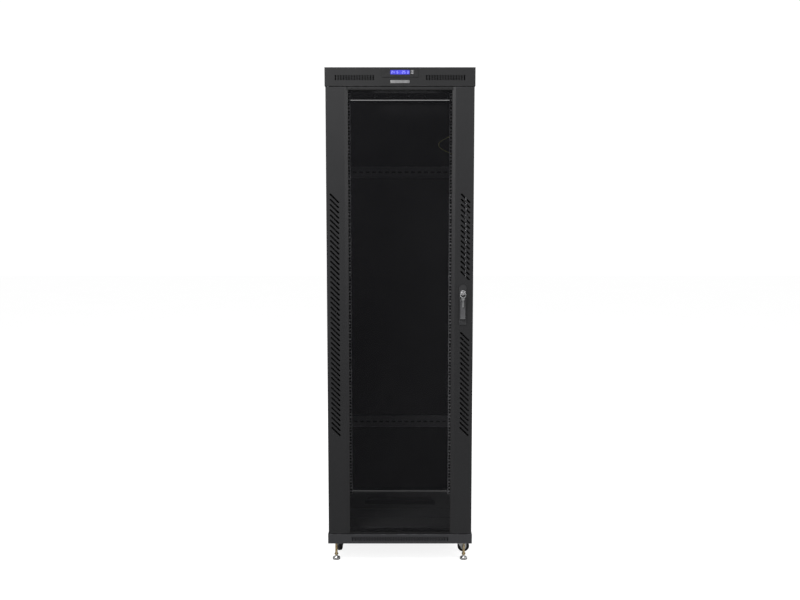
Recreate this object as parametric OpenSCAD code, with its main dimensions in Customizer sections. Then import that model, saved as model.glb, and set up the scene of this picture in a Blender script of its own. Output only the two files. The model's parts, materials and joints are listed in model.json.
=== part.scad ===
// Network server rack cabinet, 42 units high, with a glass front door.
// X is the width, -Y faces the front, +Z is up. The origin is on the floor at the centre.

/* [Cabinet] */
// Overall width
body_w = 600; // [596:1:640]
// Depth between the front and rear door faces
body_d = 600; // [600:10:1000]
// Height of the body above its feet
body_h = 1950; // [1946:1:2000]
// Clearance between the floor and the base
foot_h = 84; // [70:1:90]
// Thickness of the sheet steel
sheet = 1.5; // [1.2:0.1:1.8]
// Height of the base fascia
base_h = 40; // [38:1:44]
// Height of the top fascia
fascia_h = 73; // [70:1:76]
// Side of the square corner post
post = 34; // [32:1:36]

/* [Rack rails] */
// Number of rack units
units = 42; // [20:1:42]
// Distance from the front face back to the front rails
rail_setback = 90; // [80:5:140]
// Distance from the rear face in to the rear rails
rear_setback = 60; // [55:5:140]

/* [Front door] */
// Thickness of both doors
door_t = 28; // [27:0.5:29]
// Half width of the visible glass
glass_half = 210; // [206:1:212]
// Thickness of the glass
glass_t = 4; // [3:0.5:4]
// Width of a diagonal slot
slot_w = 7; // [4:0.5:7]
// Length of a diagonal slot between its end centres
slot_l = 45; // [35:1:46]
// Number of diagonal slots in the full column
slots = 47; // [30:1:47]

/* [Handle] */
// Width of the handle plate
plate_w = 30; // [28:1:32]
// Height of the handle plate
plate_h = 164; // [160:1:168]
// Radius of the lock cylinder
lock_r = 8; // [7:0.5:8.5]

/* [Castors and feet] */
// Diameter of a castor wheel
wheel_d = 50; // [46:1:52]
// Width of a castor wheel
wheel_w = 18; // [16:1:20]
// Radius of a levelling foot pad
pad_r = 15.5; // [12:0.5:16]

/* [Roof fans] */
// Width of a fan housing
fan_w = 120; // [110:1:122]
// Number of blades on a fan rotor
blades = 7; // [5:1:9]

/* [Hidden] */
$fn = 48;
eps = 0.01;
hw = body_w / 2;
hd = body_d / 2;
z0 = foot_h;
z1 = foot_h + body_h;
base_top = z0 + base_h;
unit = 44.45;
hole = 9.5;
hole_steps = [6.35, 22.225, 38.1];
hole_x = 465.1 / 2;
bay_half = 225;

// Frame planes
frame_y = hd - door_t - 4;
post_x = hw - 5;
skin_x = hw - 1;
side_skirt = 40;
rear_skirt = 62;
beam_in = 262;
beam_out = 286;
tube_t = 2;
ring_z = z1 - 38;
rail_z = base_top + 4;
rail_h = units * unit;
beam_h = 40;
beam_levels = [base_top + 20, base_top + 900, ring_z - 60];

// Front door
gap = 3;
door_lo = base_top + gap;
door_hi = z1 - fascia_h - gap;
door_half = hw - gap;
bevel = 12;
hinge_x = -(door_half - 9);
hinge_y = hd - 14;
pin_r = 4;
running = 0.05;
slot_x = door_half - 33;
slot_z = base_top + 437;
slot_pitch = 20.78;
skip_from = 20;
skip_to = 30;
clamp_screws = [-192, -168, 168, 192];
strip_h = 11;

// Handle, lock and rods
handle_x = hw - 45;
plate_z = z0 + 921;
plate_y = -hd - 4;
lock_z = plate_z + 130;
lever_z = plate_z + 102;
lever_y = plate_y - 4.5;
lever_t = 7;
lever_l = 78;
lever_w = 20;
head_w = 9.6;
cross_r = 2;
key_y = plate_y - 32;
ring_r = 11;
ring_wire = 0.8;
ring_y = plate_y - 14.5;
neck_r = 2;
rod_r = 4;
rod_off = 12;
rod_y = -hd + 16;

// Rear door
rear_gap = 9;
rear_lo = base_top + rear_gap;
rear_hi = z1 - rear_skirt - 5;
rear_lock_z = plate_z + 80;
panel_lock_z = beam_levels[2] - 28;
rib_levels = [base_top + 318, z1 - 419];

// Fans, controller and cable entries
fan_x = 110;
fan_y = 0;
fan_t = 25;
fan_top = z1 - sheet;
entry_w = 300;
entry_d = 90;
entry_y = hd - 150;
bezel_w = 146;
bezel_h = 30;
bezel_top = 9;
lcd_w = 77;
lcd_h = 17;
button_x = 48.5;
button_w = 12;
button_h = 4;
button_pitch = 5.6;
vent_x = 104;
vents = 15;
vent_pitch = 10.7;
vent_w = 5;

// Castors and feet
foot_x = hw - 31;
foot_y = hd - 49;
castor_x = hw - 43;
castor_y = hd - 130;
trail = 16;
fork_in = wheel_w / 2 + 1;
wheel_z = wheel_d / 2 + 3;
bolt_r = 5;
earth_r = 4;

// A box from its low corner to its high corner.
module block(a, b) {
    translate(a)
        cube(b - a);
}

// A cylinder along Y, from y to y + l.
module rod_y(x, y, z, r, l) {
    translate([x, y + l, z])
        rotate([90, 0, 0])
            cylinder(r = r, h = l);
}

// A cylinder along X, from x to x + l.
module rod_x(x, y, z, r, l) {
    translate([x, y, z])
        rotate([0, 90, 0])
            cylinder(r = r, h = l);
}

// The same shape on both sides of the cabinet.
module both_sides() {
    children();
    mirror([1, 0, 0])
        children();
}

// The same shape at the front and the rear.
module front_and_rear() {
    children();
    mirror([0, 1, 0])
        children();
}

// A square tube along Z with open ends.
module post_at(y) {
    difference() {
        block([post_x - post, y, base_top], [post_x, y + post, ring_z]);
        block([post_x - post + tube_t, y + tube_t, base_top - 1],
            [post_x - tube_t, y + post - tube_t, ring_z + 1]);
    }
}

module front_posts() {
    color([0.12, 0.12, 0.13])
        both_sides()
            post_at(-frame_y);
}

module rear_posts() {
    color([0.12, 0.12, 0.13])
        both_sides()
            post_at(frame_y - post);
}

// A welded ring of tubes, closed on top and open below.
module tube_ring(lo, hi) {
    inner_x = post_x - post;
    inner_y = frame_y - post;
    difference() {
        block([-post_x, -frame_y, lo], [post_x, frame_y, hi]);
        block([-inner_x, -inner_y, lo - 1], [inner_x, inner_y, hi + 1]);
        both_sides()
            block([inner_x + tube_t, -frame_y + tube_t, lo - 1],
                [post_x - tube_t, frame_y - tube_t, hi - tube_t]);
        front_and_rear()
            block([-inner_x - 1, inner_y + tube_t, lo - 1],
                [inner_x + 1, frame_y - tube_t, hi - tube_t]);
    }
}

// The base ring carries a plate over each castor, a tab for the earth stud and a foot boss.
module base_frame() {
    hi = base_top - sheet;
    plate = 62;
    color([0.12, 0.12, 0.13]) {
        difference() {
            union() {
                tube_ring(z0, hi);
                both_sides()
                    front_and_rear()
                        block([castor_x - plate / 2, castor_y - plate / 2, z0],
                            [castor_x + plate / 2, castor_y + plate / 2, z0 + 4]);
                block([-20, frame_y - post, z0], [20, frame_y, z0 + 4]);
                both_sides()
                    front_and_rear()
                        translate([foot_x, foot_y, z0])
                            cylinder(r = 10, h = hi - z0);
            }
            both_sides()
                front_and_rear()
                    translate([foot_x, foot_y, z0 - 1])
                        cylinder(r = bolt_r + running, h = hi - z0 - 1);
        }
    }
}

module top_frame() {
    color([0.12, 0.12, 0.13])
        tube_ring(ring_z, z1 - sheet);
}

// Depth beams run from post to post and carry the rails.
module depth_beams() {
    color([0.14, 0.14, 0.15])
        both_sides()
            for (z = beam_levels)
                difference() {
                    block([beam_in, -frame_y + post, z], [beam_out, frame_y - post, z + beam_h]);
                    block([beam_in + tube_t, -frame_y, z + tube_t],
                        [beam_out + 1, frame_y, z + beam_h - tube_t]);
                }
}

// One folded rail. Its face stands at y = 0 and its folds run towards +Y.
module rail() {
    face = 247;
    fold = 36;
    foot = 58;
    difference() {
        translate([0, 0, rail_z])
            linear_extrude(height = rail_h)
                polygon([[bay_half, 0], [face + 2, 0], [face + 2, fold], [beam_in, fold],
                    [beam_in, foot], [beam_in - 2, foot], [beam_in - 2, fold + 2],
                    [face, fold + 2], [face, 2], [bay_half, 2]]);
        for (u = [0 : units - 1])
            for (step = hole_steps)
                translate([hole_x - hole / 2, -1, rail_z + u * unit + step - hole / 2])
                    cube([hole, 4, hole]);
    }
}

module front_rails() {
    color([0.15, 0.15, 0.16])
        both_sides()
            translate([0, -hd + rail_setback, 0])
                rail();
}

module rear_rails() {
    color([0.15, 0.15, 0.16])
        mirror([0, 1, 0])
            both_sides()
                translate([0, -hd + rear_setback, 0])
                    rail();
}

// The floor sheet has pressed ribs across it and a cable entry towards the rear.
module bottom_plate() {
    rib_h = 2.5;
    rib_w = 24;
    ribs = [-212, -92, 28];
    color([0.13, 0.13, 0.14])
        difference() {
            union() {
                block([-post_x, -frame_y, base_top - sheet], [post_x, frame_y, base_top]);
                for (y = ribs)
                    block([-bay_half + 5, y, base_top - sheet], [bay_half - 5, y + rib_w, base_top + rib_h]);
            }
            for (y = ribs)
                block([-bay_half + 5 + sheet, y + sheet, base_top - sheet - 1],
                    [bay_half - 5 - sheet, y + rib_w - sheet, base_top + rib_h - sheet]);
            block([-entry_w / 2, entry_y - entry_d / 2, base_top - 5],
                [entry_w / 2, entry_y + entry_d / 2, base_top + 5]);
        }
}

// The roof is a tray with two fan openings and a cable entry.
module roof_panel() {
    in_x = skin_x - sheet;
    in_y = hd - sheet;
    color([0.15, 0.15, 0.16])
        difference() {
            block([-skin_x, -frame_y, z1 - rear_skirt], [skin_x, hd, z1]);
            block([-in_x, -frame_y - 1, z1 - rear_skirt - 1], [in_x, in_y, z1 - sheet]);
            block([-hw, -frame_y - 1, z1 - rear_skirt - 1], [hw, in_y, z1 - side_skirt]);
            for (side = [-1, 1])
                translate([side * fan_x, fan_y, z1 - 5])
                    cylinder(r = fan_w / 2 - 3, h = 10);
            block([-entry_w / 2, entry_y - entry_d / 2, z1 - 5],
                [entry_w / 2, entry_y + entry_d / 2, z1 + 5]);
        }
}

// Sliding covers close the front half of each cable entry, from inside.
module cable_entry_covers() {
    lap = 12;
    color([0.14, 0.14, 0.15])
        for (z = [base_top, z1 - sheet - 2])
            block([-entry_w / 2 - lap, entry_y - entry_d / 2 - lap, z],
                [entry_w / 2 + lap, entry_y, z + 2]);
}

// A folded tray whose open side faces the frame.
module tray(x, lo, hi) {
    difference() {
        block([-x, -hd, lo], [x, -frame_y, hi]);
        block([-x + sheet, -hd + sheet, lo + sheet], [x - sheet, -frame_y + 1, hi - sheet]);
    }
}

module top_fascia() {
    lo = z1 - fascia_h;
    color([0.22, 0.22, 0.23])
        difference() {
            tray(hw, lo, z1);
            block([-bezel_w / 2 + 1.5, -hd - 1, z1 - bezel_top - bezel_h + 1.5],
                [bezel_w / 2 - 1.5, -hd + 5, z1 - bezel_top - 1.5]);
            both_sides()
                for (i = [0 : vents - 1])
                    translate([vent_x + i * vent_pitch, -hd - 1, z1 - 50.5])
                        cube([vent_w, 5, 20.5]);
        }
}

// Front and rear base covers with air slots.
module base_fascias() {
    count = 37;
    pitch = 11;
    color([0.24, 0.24, 0.25])
        front_and_rear()
            difference() {
                tray(hw, z0, base_top);
                for (i = [0 : count - 1])
                    translate([(i - (count - 1) / 2) * pitch - 2.5, -hd - 1, base_top - 29])
                        cube([5, 5, 18]);
            }
}

// Square fan housings hang under the roof sheet.
module fan_housings() {
    strut = 5;
    color([0.08, 0.08, 0.08])
        for (side = [-1, 1])
            translate([side * fan_x, fan_y, fan_top - fan_t]) {
                difference() {
                    translate([-fan_w / 2, -fan_w / 2, 0])
                        cube([fan_w, fan_w, fan_t]);
                    translate([0, 0, -1])
                        cylinder(r = fan_w / 2 - 3, h = fan_t + 2);
                    for (x = [-1, 1])
                        for (y = [-1, 1])
                            translate([x * (fan_w / 2 - 7.5), y * (fan_w / 2 - 7.5), -1])
                                cylinder(r = 2.2, h = fan_t + 2);
                }
                cylinder(r = 18, h = 3);
                for (a = [45 : 90 : 315])
                    rotate([0, 0, a])
                        translate([17, -strut / 2, 0])
                            cube([fan_w / 2 - 19, strut, 3]);
            }
}

// Ring guards close each fan from below and in the roof opening.
module fan_guards() {
    rings = 5;
    pitch = 10.5;
    color([0.75, 0.76, 0.78])
        for (side = [-1, 1])
            for (z = [fan_top - fan_t - sheet, fan_top])
                translate([side * fan_x, fan_y, z]) {
                    for (i = [1 : rings])
                        difference() {
                            cylinder(r = i * pitch + 1, h = sheet);
                            translate([0, 0, -1])
                                cylinder(r = i * pitch - 1, h = sheet + 2);
                        }
                    for (a = [0, 90])
                        rotate([0, 0, a])
                            translate([-fan_w / 2 + 3.2, -1, 0])
                                cube([fan_w - 6.4, 2, sheet]);
                }
}

// A fan rotor: a hub with flat pitched blades.
module fan_rotor(side) {
    color([0.1, 0.1, 0.1])
        translate([side * fan_x, fan_y, fan_top - fan_t + 3.5]) {
            cylinder(r = 20, h = fan_t - 6);
            for (i = [0 : blades - 1])
                rotate([0, 0, i * 360 / blades])
                    translate([34, 0, (fan_t - 6) / 2])
                        rotate([35, 0, 0])
                            cube([36, 24, 1.8], center = true);
        }
}

module fan_rotor_left() {
    fan_rotor(-1);
}

module fan_rotor_right() {
    fan_rotor(1);
}

// The thermostat's case sits behind the fascia.
module controller_case() {
    color([0.1, 0.1, 0.1])
        block([-bezel_w / 2 + 4, -hd + 3.5, z1 - bezel_top - bezel_h + 4],
            [bezel_w / 2 - 4, -frame_y - 1, z1 - bezel_top - 4]);
}

// The bezel snaps into the fascia and frames the display and the three buttons.
module controller_bezel() {
    top = z1 - bezel_top;
    color([0.16, 0.16, 0.17])
        difference() {
            union() {
                block([-bezel_w / 2, -hd - 2, top - bezel_h], [bezel_w / 2, -hd, top]);
                block([-bezel_w / 2 + 1.7, -hd, top - bezel_h + 1.7],
                    [bezel_w / 2 - 1.7, -hd + 3.5, top - 1.7]);
            }
            block([-lcd_w / 2, -hd - 3, top - lcd_h - 2], [lcd_w / 2, -hd + 1, top - 2]);
            for (i = [-1 : 1])
                button_block(i, 0.3, 6);
        }
}

module display_window() {
    top = z1 - bezel_top;
    color([0.38, 0.38, 0.93])
        block([-lcd_w / 2 + 0.1, -hd - 1.2, top - lcd_h - 1.9],
            [lcd_w / 2 - 0.1, -hd + 1, top - 2.1]);
}

// A push button, or the opening for one when it is grown.
module button_block(i, grow, depth) {
    z = z1 - bezel_top - 10 + i * button_pitch;
    block([button_x - button_w / 2 - grow, -hd - 3.2, z - button_h / 2 - grow],
        [button_x + button_w / 2 + grow, -hd - 3.2 + depth, z + button_h / 2 + grow]);
}

module button_up() {
    color([0.85, 0.86, 0.88])
        button_block(1, 0, 4.6);
}

module button_set() {
    color([0.85, 0.86, 0.88])
        button_block(0, 0, 4.6);
}

module button_down() {
    color([0.85, 0.86, 0.88])
        button_block(-1, 0, 4.6);
}

// A hinge pin with a collar that carries the door.
module hinge_pin(y, from, to, collar) {
    translate([hinge_x, y, min(from, to)])
        cylinder(r = pin_r, h = abs(to - from));
    if (collar > 0)
        translate([hinge_x, y, from])
            cylinder(r = 7, h = collar);
}

module hinge_pins() {
    fascia_lo = z1 - fascia_h;
    color([0.7, 0.71, 0.73]) {
        hinge_pin(-hinge_y, base_top, base_top + 18, gap - 0.2);
        hinge_pin(-hinge_y, fascia_lo, fascia_lo - 16, 0);
        hinge_pin(hinge_y, base_top, rear_lo + 16, rear_gap - 0.2);
        hinge_pin(hinge_y, rear_hi + 4, rear_hi - 14, 0);
        block([hinge_x - 7, frame_y, rear_hi + 2], [hinge_x + 26, hinge_y + 9, rear_hi + 4]);
    }
}

// The earth lead bows inwards between two studs on the right rear post.
lead_r = 2.5;
lead_n = 16;
stud_r = 3;
stud_l = 18;
stud_y = frame_y - 17;
stud_z = [z1 - 316, z1 - 222];
lead_drop = stud_r + 0.9 * lead_r;
lead_x = post_x - post - 14;
function lead_point(i) = let (t = i / lead_n)
    [lead_x - 70 * sin(180 * t), stud_y,
        stud_z[1] - lead_drop - t * (stud_z[1] - stud_z[0] - 2 * lead_drop)];
function lead_dir(i) = lead_point(min(i + 1, lead_n)) - lead_point(max(i - 1, 0));
function unit_v(v) = v / norm(v);

module tube_sweep(n, sides, r) {
    rings = [for (i = [0 : n])
        let (d = unit_v(lead_dir(i)), a = unit_v(cross(d, [0, 1, 0])), b = cross(d, a))
            for (k = [0 : sides - 1])
                lead_point(i) + r * (cos(k * 360 / sides) * a + sin(k * 360 / sides) * b)];
    walls = [for (i = [0 : n - 1])
        for (k = [0 : sides - 1])
            [i * sides + k, i * sides + (k + 1) % sides,
                (i + 1) * sides + (k + 1) % sides, (i + 1) * sides + k]];
    cap_a = [[for (k = [sides - 1 : -1 : 0]) k]];
    cap_b = [[for (k = [0 : sides - 1]) n * sides + k]];
    polyhedron(points = rings, faces = concat(walls, cap_a, cap_b));
}

module earth_lead() {
    color([0.75, 0.7, 0.2])
        tube_sweep(lead_n, 8, lead_r);
}

// Inner studs, the main earth stud under the base, rail screws and castor screws.
module frame_screws() {
    color([0.72, 0.73, 0.75]) {
        for (z = stud_z)
            rod_x(post_x - post - stud_l, stud_y, z, stud_r, stud_l);
        translate([0, stud_y, z0 - 20])
            cylinder(r = earth_r, h = 20);
        both_sides()
            for (z = beam_levels)
                for (y = [-hd + rail_setback + 48, hd - rear_setback - 48])
                    rod_x(beam_in - 5, y, z + beam_h / 2, 5, 3);
        both_sides()
            front_and_rear()
                for (x = [-1, 1])
                    for (y = [-1, 1])
                        translate([castor_x + x * 24, castor_y + y * 24, z0 + 4])
                            cylinder(r = 5, h = 4);
    }
}

// Castor top plates with their swivel races.
module castor_plates() {
    color([0.75, 0.75, 0.76])
        both_sides()
            front_and_rear()
                translate([castor_x, castor_y, z0]) {
                    translate([-30, -30, -2.5])
                        cube([60, 60, 2.5]);
                    translate([0, 0, -6.5])
                        cylinder(r = 20, h = 4);
                }
}

// A pressed fork with its axle pin, trailing along +Y when heading is 0.
module fork(x, y, heading) {
    top = z0 - 7;
    color([0.72, 0.72, 0.74])
        translate([x, y, 0])
            rotate([0, 0, heading]) {
                translate([0, 0, top - 3])
                    cylinder(r = 22, h = 3);
                for (s = [-1, 1])
                    translate([s > 0 ? fork_in : -fork_in - 2, 0, wheel_z])
                        rotate([90, 0, 90])
                            linear_extrude(height = 2)
                                polygon([[-26, top - 1 - wheel_z], [26, top - 1 - wheel_z],
                                    [trail + 13, -3], [trail + 10, -10], [trail + 4, -13],
                                    [trail - 4, -13], [trail - 10, -10], [trail - 13, -3]]);
                rod_x(-fork_in - 4, trail, wheel_z, 4, 2 * fork_in + 8);
            }
}

// A wheel with a shallow hub on both faces.
module wheel(x, y, heading) {
    half = wheel_w / 2;
    color([0.06, 0.06, 0.06])
        translate([x, y, 0])
            rotate([0, 0, heading])
                translate([0, trail, wheel_z])
                    rotate([0, 90, 0])
                        rotate_extrude()
                            polygon([[4.05, -half], [9, -half], [10, -half + 2],
                                [wheel_d / 2 - 7, -half + 2], [wheel_d / 2 - 6, -half],
                                [wheel_d / 2 - 3, -half], [wheel_d / 2, -half + 3],
                                [wheel_d / 2, half - 3], [wheel_d / 2 - 3, half],
                                [wheel_d / 2 - 6, half], [wheel_d / 2 - 7, half - 2],
                                [10, half - 2], [9, half], [4.05, half]]);
}

module castor_fork_fl() {
    fork(-castor_x, -castor_y, 20);
}

module castor_fork_fr() {
    fork(castor_x, -castor_y, 270);
}

module castor_fork_rl() {
    fork(-castor_x, castor_y, 180);
}

module castor_fork_rr() {
    fork(castor_x, castor_y, 180);
}

module castor_wheel_fl() {
    wheel(-castor_x, -castor_y, 20);
}

module castor_wheel_fr() {
    wheel(castor_x, -castor_y, 270);
}

module castor_wheel_rl() {
    wheel(-castor_x, castor_y, 180);
}

module castor_wheel_rr() {
    wheel(castor_x, castor_y, 180);
}

// A levelling foot: a bolt on a round pad.
module foot(x, y) {
    color([0.8, 0.72, 0.4])
        translate([x, y, 0]) {
            cylinder(r = pad_r, h = 8);
            translate([0, 0, 8 - eps])
                cylinder(r1 = pad_r - 3, r2 = 8, h = 5);
            cylinder(r = bolt_r, h = base_top - sheet - 8);
            translate([0, 0, 20])
                cylinder(r = 8, h = 6, $fn = 6);
        }
}

module levelling_foot_fl() {
    foot(-foot_x, -foot_y);
}

module levelling_foot_fr() {
    foot(foot_x, -foot_y);
}

module levelling_foot_rl() {
    foot(-foot_x, foot_y);
}

module levelling_foot_rr() {
    foot(foot_x, foot_y);
}

// Lock nuts under the base.
module foot_nuts() {
    color([0.8, 0.72, 0.4])
        both_sides()
            front_and_rear()
                translate([foot_x, foot_y, z0 - 6])
                    difference() {
                        cylinder(r = 9, h = 6, $fn = 6);
                        translate([0, 0, -1])
                            cylinder(r = bolt_r + running, h = 8);
                    }
}

// Folded steel border of the front door, for the +X side.
module border_profile() {
    edge = door_half;
    flat_end = glass_half + bevel;
    translate([0, -hd, door_lo])
        linear_extrude(height = door_hi - door_lo)
            polygon([[edge, 0], [flat_end, 0], [glass_half, 4], [glass_half, 4 + sheet],
                [flat_end, sheet], [flat_end + 6, sheet], [flat_end + 6, 24],
                [flat_end + 16, 24], [flat_end + 16, 24 - sheet],
                [flat_end + 6 + sheet, 24 - sheet], [flat_end + 6 + sheet, sheet],
                [edge - sheet, sheet], [edge - sheet, 26], [edge, 26]]);
}

// End caps close the channel at the top and the bottom of a border.
module border_caps() {
    for (z = [door_lo, door_hi - 3])
        block([glass_half + bevel + 6, -hd + 1, z], [door_half - 1, -hd + 24, z + 3]);
}

// One diagonal slot with round ends, low at the right end.
module diagonal_slot(x, z) {
    translate([x, -hd - 5, z])
        rotate([0, 45, 0]) {
            translate([-slot_l / 2, 0, -slot_w / 2])
                cube([slot_l, 10, slot_w]);
            for (s = [-1, 1])
                translate([s * slot_l / 2, 10, 0])
                    rotate([90, 0, 0])
                        cylinder(r = slot_w / 2, h = 10);
        }
}

module door_left_border() {
    color([0.24, 0.24, 0.25])
        difference() {
            union() {
                mirror([1, 0, 0])
                    border_profile();
                mirror([1, 0, 0])
                    border_caps();
            }
            for (i = [0 : slots - 1])
                diagonal_slot(-slot_x, slot_z + i * slot_pitch);
            translate([hinge_x, -hinge_y, door_lo - 1])
                cylinder(r = pin_r + running, h = door_hi - door_lo + 2);
        }
}

module door_right_border() {
    color([0.24, 0.24, 0.25])
        difference() {
            union() {
                border_profile();
                border_caps();
            }
            for (i = [0 : slots - 1])
                if (i < skip_from || i >= skip_to + 1)
                    diagonal_slot(slot_x, slot_z + i * slot_pitch);
            rod_y(handle_x, -hd - 1, lever_z, 8, 5);
            rod_y(handle_x, -hd - 1, lock_z, lock_r + 2, 5);
            translate([handle_x + rod_off, rod_y, door_hi - 5])
                cylinder(r = rod_r + 0.6, h = 10);
            translate([handle_x - rod_off, rod_y, door_lo - 5])
                cylinder(r = rod_r + 0.6, h = 10);
        }
}

// The strips join the borders above and below the glass.
module door_cross_strips() {
    front_x = glass_half - 0.3;
    back_x = glass_half + bevel + 5.9;
    back_y = -hd + 6 + glass_t;
    color([0.22, 0.22, 0.23]) {
        difference() {
            block([-front_x, -hd, door_hi - strip_h], [front_x, back_y + 1, door_hi]);
            block([-front_x - 1, -hd + sheet, door_hi - strip_h - 1],
                [front_x + 1, back_y + 2, door_hi - sheet]);
            for (x = clamp_screws)
                rod_y(x, -hd - 1, door_hi - strip_h / 2, 2.1, 5);
        }
        block([-back_x, back_y, door_hi - sheet], [back_x, -hd + 24, door_hi]);
        difference() {
            block([-back_x, back_y, door_lo], [back_x, -hd + 24, door_lo + 20]);
            block([-back_x - 1, back_y + sheet, door_lo + sheet],
                [back_x + 1, -hd + 25, door_lo + 21]);
        }
    }
}

module door_glass() {
    x = glass_half + bevel + 2;
    y = -hd + 4 + sheet;
    color([0.1, 0.1, 0.12, 0.35])
        block([-x, y, door_lo + 2], [x, y + glass_t, door_hi - 5]);
}

// Clamp screws along the top strip.
module door_screws() {
    color([0.1, 0.1, 0.1])
        for (x = clamp_screws)
            rod_y(x, -hd - 0.8, door_hi - strip_h / 2, 2, 5.8);
}

// Handle plate with a round top, a spindle bore and a finger recess.
module handle_base() {
    half = plate_w / 2;
    color([0.45, 0.45, 0.46])
        difference() {
            union() {
                block([handle_x - half, plate_y, plate_z],
                    [handle_x + half, -hd, plate_z + plate_h - half]);
                rod_y(handle_x, plate_y, plate_z + plate_h - half, half, 4);
                rod_y(handle_x, -hd, lock_z, lock_r + 1.8, 10);
                rod_y(handle_x, -hd, lever_z, 7.5, 10);
            }
            rod_y(handle_x, plate_y - 1, lock_z, lock_r + running, 20);
            rod_y(handle_x, plate_y - 1, lever_z, 5 + running, 20);
            block([handle_x - half + 4, plate_y - 1, plate_z + 4],
                [handle_x + half - 4, plate_y + 2.5, plate_z + 22]);
        }
}

// The spindle turns in the plate and carries the cam behind the door.
module handle_spindle() {
    color([0.7, 0.7, 0.72])
        union() {
            rod_y(handle_x, lever_y + 3, lever_z, 5, 31);
            block([handle_x - head_w / 2, lever_y - 3.2, lever_z - 3.2],
                [handle_x + head_w / 2, lever_y + 3.2, lever_z + 3.2]);
            block([handle_x - 15, lever_y + 31, lever_z - 6],
                [handle_x + 15, lever_y + 34, lever_z + 6]);
            rod_x(handle_x - lever_w / 2 + 0.2, lever_y, lever_z, cross_r, lever_w - 0.4);
        }
}

// The lever hangs from the cross pin of the spindle.
module handle_lever() {
    half = lever_t / 2;
    left = handle_x - lever_w / 2;
    slot = head_w / 2 + 0.4;
    color([0.5, 0.5, 0.51])
        difference() {
            union() {
                rod_x(left, lever_y, lever_z, half, lever_w);
                block([left, lever_y - half, lever_z - lever_l],
                    [left + lever_w, lever_y + half, lever_z]);
            }
            block([handle_x - slot, lever_y - half - 1, lever_z - 9],
                [handle_x + slot, lever_y + half + 1, lever_z + half + 1]);
            rod_x(left - 1, lever_y, lever_z, cross_r + running, lever_w + 2);
        }
}

module lock_cylinder() {
    color([0.8, 0.8, 0.82])
        difference() {
            rod_y(handle_x, plate_y - 2, lock_z, lock_r, 17);
            block([handle_x - 1.2, plate_y - 3, lock_z - 4],
                [handle_x + 1.2, plate_y + 14, lock_z + 4]);
        }
}

// A flat key bow with a hole, in the plane x = 0, its neck pointing to +Y.
module key_bow(r) {
    difference() {
        rod_x(-1, 0, 0, r, 2);
        rod_x(-2, -r / 2, 0, 2.6, 4);
    }
}

// The key stands in the lock. Its round neck carries the ring.
module lock_key() {
    bow = 8;
    color([0.78, 0.78, 0.8])
        translate([handle_x, 0, lock_z]) {
            translate([0, key_y + bow, 0])
                key_bow(bow);
            rod_y(0, key_y + 2 * bow - 2, 0, neck_r, plate_y - 2.2 - key_y - 2 * bow + 2);
            block([-1, plate_y - 3, -3.5], [1, plate_y + 13, 3.5]);
        }
}

// The spare key hangs on a ring round the neck of the first key.
module spare_key() {
    inner = ring_r - ring_wire;
    ring_c = lock_z + neck_r + 0.3 - inner;
    bow = 7;
    hole_r = 2.6;
    thick = 1.8;
    hole_z = -hole_r + ring_wire + 0.3;
    color([0.78, 0.78, 0.8])
        translate([handle_x, ring_y, ring_c]) {
            rotate([90, 0, 0])
                rotate_extrude()
                    translate([ring_r, 0])
                        circle(r = ring_wire, $fn = 24);
            translate([0, 0, -ring_r + hole_z])
                rotate([0, 0, 45])
                    difference() {
                        union() {
                            rod_x(-thick / 2, 0, -3, bow, thick);
                            block([-thick / 2, -2.5, -36], [thick / 2, 2.5, -8]);
                        }
                        rod_x(-2, 0, 0, hole_r, 4);
                    }
        }
}

module lock_rod_upper() {
    tip = z1 - fascia_h - 1;
    color([0.7, 0.7, 0.72])
        translate([handle_x + rod_off, rod_y, lever_z + 2])
            cylinder(r = rod_r, h = tip - lever_z - 2);
}

module lock_rod_lower() {
    tip = base_top + 1;
    color([0.7, 0.7, 0.72])
        translate([handle_x - rod_off, rod_y, tip])
            cylinder(r = rod_r, h = lever_z - 2 - tip);
}

// One nylon guide on the back of the door skin.
module guide(x, z) {
    difference() {
        block([x - 9, -hd + sheet, z], [x + 9, rod_y + 6, z + 12]);
        translate([x, rod_y, z - 1])
            cylinder(r = rod_r + running, h = 14);
    }
}

module rod_guides() {
    step = 330;
    color([0.1, 0.1, 0.1])
        for (i = [1 : 2]) {
            guide(handle_x + rod_off, lever_z + i * step);
            guide(handle_x - rod_off, lever_z - 12 - i * step);
        }
}

// Rear door: a folded sheet with a return on all four edges.
module rear_door() {
    x = door_half;
    color([0.15, 0.15, 0.16])
        difference() {
            union() {
                difference() {
                    block([-x, hd - door_t, rear_lo], [x, hd, rear_hi]);
                    block([-x + sheet, hd - door_t - 1, rear_lo + sheet],
                        [x - sheet, hd - sheet, rear_hi - sheet]);
                }
                for (z = [rear_lo, rear_hi - 3])
                    block([-x + 1, hd - door_t + 2, z], [-x + 40, hd - 1, z + 3]);
            }
            translate([hinge_x, hinge_y, rear_lo - 1])
                cylinder(r = pin_r + running, h = rear_hi - rear_lo + 2);
            rod_y(handle_x, hd - 5, rear_lock_z, 9, 10);
        }
}

// Two slotted stiffeners across the inside of the rear door.
module rear_door_ribs() {
    x = door_half - 45;
    rib_h = 52;
    color([0.16, 0.16, 0.17])
        for (z = rib_levels)
            difference() {
                block([-x, hd - 22, z], [x, hd - sheet, z + rib_h]);
                block([-x - 1, hd - 22 + sheet, z + sheet], [x + 1, hd, z + rib_h - sheet]);
                for (i = [-7 : 7])
                    translate([i * 30 - 9, hd - 25, z + 22])
                        cube([18, 8, 8]);
            }
}

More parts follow.
